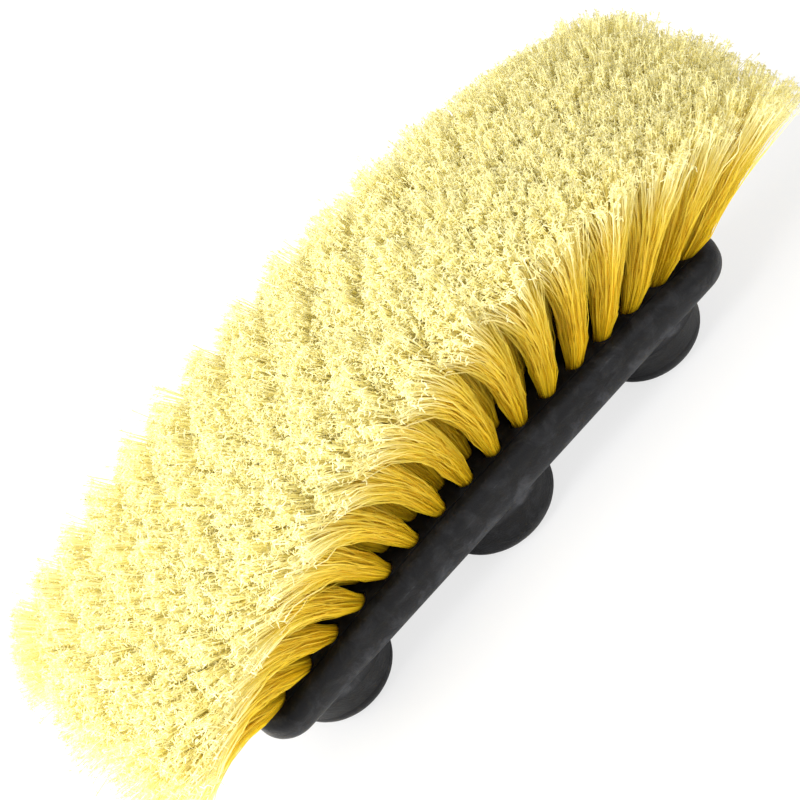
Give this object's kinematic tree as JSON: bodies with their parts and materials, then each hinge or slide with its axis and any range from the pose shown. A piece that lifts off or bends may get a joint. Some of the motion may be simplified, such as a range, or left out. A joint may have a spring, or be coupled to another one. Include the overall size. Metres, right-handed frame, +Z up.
{
  "type": "wash brush head",
  "caption": "Long brush head: arched moulded block with rows of soft fanned bristle tufts above and blind handle sockets in bosses below.",
  "frame": {"origin": "on the ground plane under the middle of the centre boss, with the brush standing on that boss", "axes": "+X along the block, +Y across it, +Z up from the bosses to the bristle tips"},
  "size_m": [0.304, 0.1016, 0.1211],
  "materials": {
    "block": "matte to satin, scuffed",
    "bristle": "soft filaments with pale flagged tips",
    "anchor": "plain wire"
  },
  "bodies": {
    "root": {"brush_block": "block", "tuft_rank_01": "bristle", "tuft_rank_02": "bristle", "tuft_rank_03": "bristle", "tuft_rank_04": "bristle", "tuft_rank_05": "bristle", "tuft_rank_06": "bristle", "tuft_rank_07": "bristle", "tuft_rank_08": "bristle", "tuft_rank_09": "bristle", "tuft_rank_10": "bristle", "tuft_rank_11": "bristle", "tuft_rank_12": "bristle", "tuft_rank_13": "bristle", "tuft_rank_14": "bristle", "tuft_rank_15": "bristle", "tuft_rank_16": "bristle", "tuft_rank_17": "bristle", "tuft_rank_18": "bristle", "tuft_rank_19": "bristle", "tuft_rank_20": "bristle", "tuft_rank_21": "bristle", "tuft_rank_22": "bristle", "tuft_rank_23": "bristle", "tuft_rank_24": "bristle", "tuft_rank_25": "bristle", "tuft_rank_26": "bristle", "tuft_rank_27": "bristle", "tuft_rank_28": "bristle", "tuft_rank_29": "bristle", "tuft_rank_30": "bristle", "tuft_rank_31": "bristle", "anchor_row_1": "anchor", "anchor_row_2": "anchor", "anchor_row_3": "anchor", "anchor_row_4": "anchor", "anchor_row_5": "anchor"}
  },
  "joints": []
}
